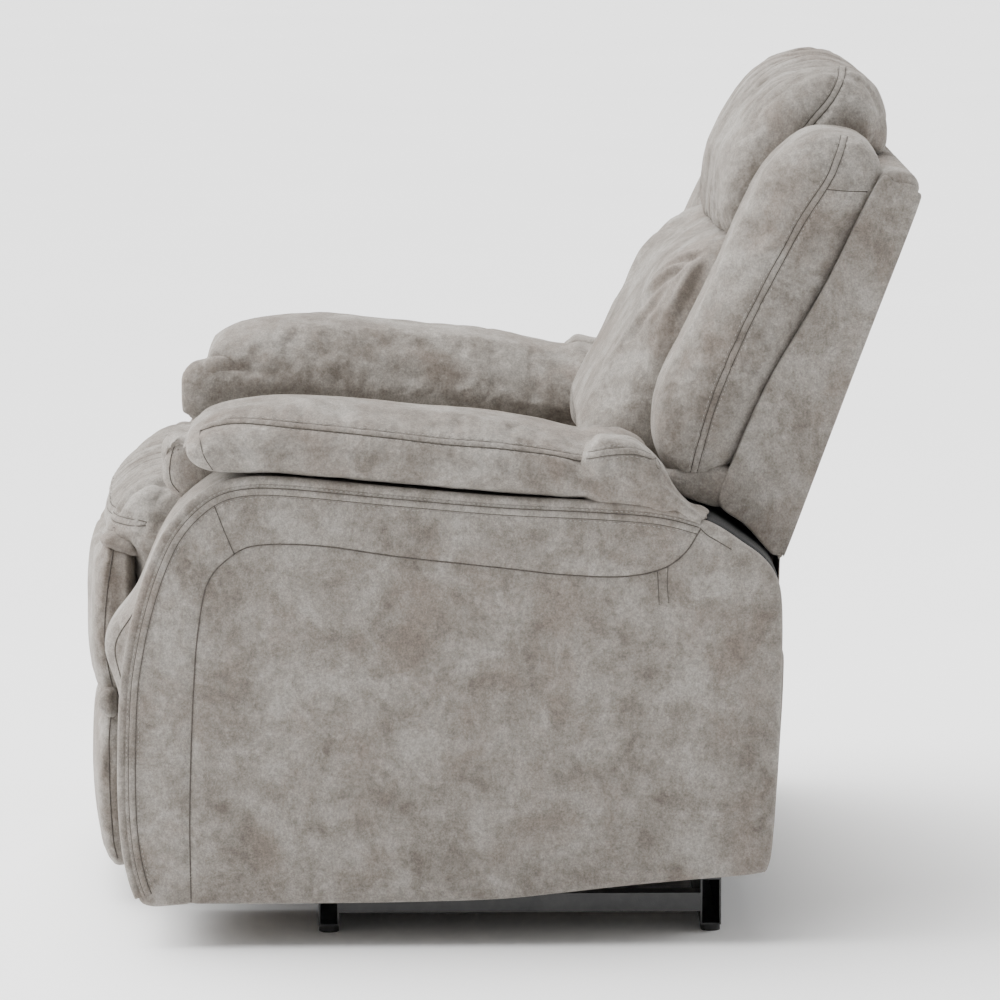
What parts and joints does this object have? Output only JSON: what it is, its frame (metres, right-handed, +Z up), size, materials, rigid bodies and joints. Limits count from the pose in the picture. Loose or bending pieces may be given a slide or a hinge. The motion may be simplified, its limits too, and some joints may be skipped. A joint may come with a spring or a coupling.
{
  "type": "recliner armchair",
  "caption": "Upholstered recliner armchair with padded arms, a pillow back that leans, a fold-out footrest and a swing base that moves the seat forward as it reclines.",
  "frame": {"origin": "on the floor under the middle of the chair, centre of its bounding box bottom", "axes": "+Z up, -Y the way the sitter faces, +X the sitter's left"},
  "size_m": [0.949, 0.9704, 0.9948],
  "materials": {
    "upholstery": "brushed suede-look microfibre",
    "frame_wood": "sawn",
    "black_steel": "satin",
    "zinc_fasteners": "zinc plated",
    "spring_wire": "drawn",
    "dust_cloth": "matte",
    "glide_plastic": "matte",
    "bush_nylon": "matte",
    "lever_plastic": "satin"
  },
  "bodies": {
    "floor_base": {"base_front_crossbar": "black_steel", "base_rear_crossbar": "black_steel", "base_side_rails": "black_steel", "foot_glides": "glide_plastic", "swing_brackets": "black_steel", "base_pivot_pins": "zinc_fasteners"},
    "front_swing": {"front_swing_links": "black_steel"},
    "rear_swing": {"rear_swing_links": "black_steel"},
    "back": {"back_posts": "frame_wood", "back_top_rail": "frame_wood", "back_lower_rail": "frame_wood", "back_springs": "spring_wire", "back_hinge_brackets": "black_steel", "back_bolts": "zinc_fasteners", "back_wing_left": "upholstery", "back_wing_right": "upholstery", "lumbar_cushion": "upholstery", "head_pillow": "upholstery", "back_side_panel_left": "upholstery", "back_side_panel_right": "upholstery", "back_rear_panel": "upholstery"},
    "upper_footrest": {"upper_footrest_pad": "upholstery", "upper_footrest_board": "frame_wood"},
    "lower_footrest": {"lower_footrest_pad": "upholstery", "lower_footrest_board": "frame_wood", "footrest_brackets": "black_steel", "footrest_bracket_pins": "zinc_fasteners"},
    "footrest_drive": {"drive_tube": "black_steel", "footrest_lower_links": "black_steel", "footrest_tie_tube": "black_steel", "footrest_knee_pins": "zinc_fasteners", "release_lever": "lever_plastic"},
    "footrest_push": {"footrest_upper_links": "black_steel"},
    "carriage": {"arm_bolts": "zinc_fasteners", "arm_bottom_rails": "frame_wood", "arm_front_facing_left": "upholstery", "arm_front_facing_right": "upholstery", "arm_front_posts": "frame_wood", "arm_inner_panel_left": "upholstery", "arm_inner_panel_right": "upholstery", "arm_outer_panel_left": "upholstery", "arm_outer_panel_right": "upholstery", "arm_pad_left": "upholstery", "arm_pad_right": "upholstery", "arm_rear_facing_left": "upholstery", "arm_rear_facing_right": "upholstery", "arm_rear_posts": "frame_wood", "arm_top_rails": "frame_wood", "carriage_pivot_pins": "zinc_fasteners", "drive_tube_bushings": "bush_nylon", "dust_cover": "dust_cloth", "mechanism_plate_left": "black_steel", "mechanism_plate_right": "black_steel", "rear_skirt_board": "upholstery", "seat_cushion": "upholstery", "seat_front_rail": "frame_wood", "seat_rear_rail": "frame_wood", "seat_side_rail_left": "frame_wood", "seat_side_rail_right": "frame_wood", "seat_springs": "spring_wire"}
  },
  "joints": [
    {"name": "glide", "type": "hinge", "parent": "floor_base", "child": "front_swing", "pos_m": [0, -0.15, 0.09], "axis": [1, 0, 0], "range_deg": [0, 40]},
    {"name": "carriage_level", "type": "hinge", "parent": "front_swing", "child": "carriage", "pos_m": [0, -0.10896, 0.20276], "axis": [-1, 0, 0], "range_deg": [0, 40]},
    {"name": "rear_swing_turn", "type": "hinge", "parent": "floor_base", "child": "rear_swing", "pos_m": [0, 0.19, 0.09], "axis": [1, 0, 0], "range_deg": [0, 40]},
    {"name": "back_recline", "type": "hinge", "parent": "carriage", "child": "back", "pos_m": [0, 0.19, 0.348], "axis": [-1, 0, 0], "range_deg": [0, 38]},
    {"name": "footrest_raise", "type": "hinge", "parent": "carriage", "child": "upper_footrest", "pos_m": [0, -0.468, 0.436], "axis": [-1, 0, 0], "range_deg": [0, 80]},
    {"name": "footrest_fold", "type": "hinge", "parent": "upper_footrest", "child": "lower_footrest", "pos_m": [0, -0.47, 0.246], "axis": [-1, 0, 0], "range_deg": [0, 6]},
    {"name": "drive_turn", "type": "hinge", "parent": "carriage", "child": "footrest_drive", "pos_m": [0, -0.258, 0.315], "axis": [-1, 0, 0], "range_deg": [0, 81.6]},
    {"name": "push_link_turn", "type": "hinge", "parent": "footrest_drive", "child": "footrest_push", "pos_m": [0, -0.199, 0.095], "axis": [-1, 0, 0], "range_deg": [-80.5, 0]}
  ],
  "couplings": [
    {"joint": "carriage_level", "follows": "glide", "ratio": 1},
    {"joint": "rear_swing_turn", "follows": "glide", "ratio": 1},
    {"joint": "back_recline", "follows": "glide", "ratio": 0.95},
    {"joint": "footrest_fold", "follows": "footrest_raise", "ratio": 0.075},
    {"joint": "drive_turn", "follows": "footrest_raise", "ratio": 1.0183},
    {"joint": "push_link_turn", "follows": "footrest_raise", "ratio": -1.0046}
  ]
}
